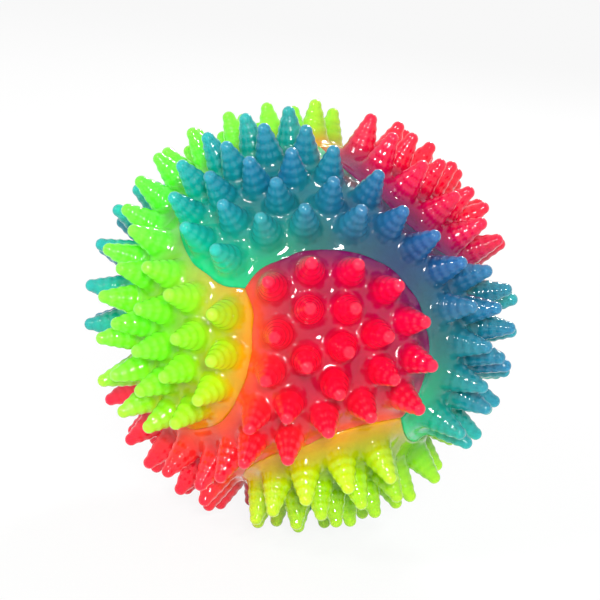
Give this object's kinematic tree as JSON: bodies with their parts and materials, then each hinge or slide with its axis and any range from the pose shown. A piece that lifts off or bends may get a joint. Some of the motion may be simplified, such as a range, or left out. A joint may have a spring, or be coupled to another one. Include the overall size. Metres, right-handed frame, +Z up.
{
  "type": "sensory ball",
  "caption": "Soft rubber sensory ball covered in beaded spikes, made of bonded bone-shaped panels in red, blue and green round a clear core with a shake-to-flash light capsule.",
  "frame": {"origin": "centre of the ball", "axes": "+Z up through a corner where three panels meet, -Z down through the three spikes that the ball stands on, front -Y at the middle of a red lobe"},
  "size_m": [0.0648, 0.0648, 0.0638],
  "materials": {
    "red_rubber": "glossy translucent",
    "blue_rubber": "glossy translucent",
    "green_rubber": "glossy translucent",
    "clear_rubber": "clear",
    "clear_plastic": "clear",
    "board_laminate": "satin",
    "potting": "satin",
    "red_lens": "clear",
    "green_lens": "clear",
    "blue_lens": "clear",
    "spring_steel": "bright",
    "contact_brass": "bright",
    "cell_steel": "bright",
    "sleeve_film": "glossy film"
  },
  "bodies": {
    "ball": {"red_front_panel": "red_rubber", "red_back_panel": "red_rubber", "blue_right_panel": "blue_rubber", "blue_left_panel": "blue_rubber", "green_left_panel": "green_rubber", "green_right_panel": "green_rubber", "core_upper_half": "clear_rubber", "core_lower_half": "clear_rubber", "capsule_upper_shell": "clear_plastic", "capsule_lower_shell": "clear_plastic", "circuit_board": "board_laminate", "flasher_chip": "potting", "red_lamp": "red_lens", "green_lamp": "green_lens", "blue_lamp": "blue_lens", "shake_post": "contact_brass", "contact_pad": "contact_brass", "upper_cell": "cell_steel", "middle_cell": "cell_steel", "lower_cell": "cell_steel", "cell_sleeve": "sleeve_film", "battery_clip": "spring_steel"},
    "coil": {"shake_coil": "spring_steel"}
  },
  "joints": [
    {"name": "coil_sway", "type": "hinge", "parent": "ball", "child": "coil", "pos_m": [0, -0.0078, 0.001], "axis": [0, 1, 0], "range_deg": [-6, 6], "stiffness_Nm_per_rad": 0.000012}
  ]
}
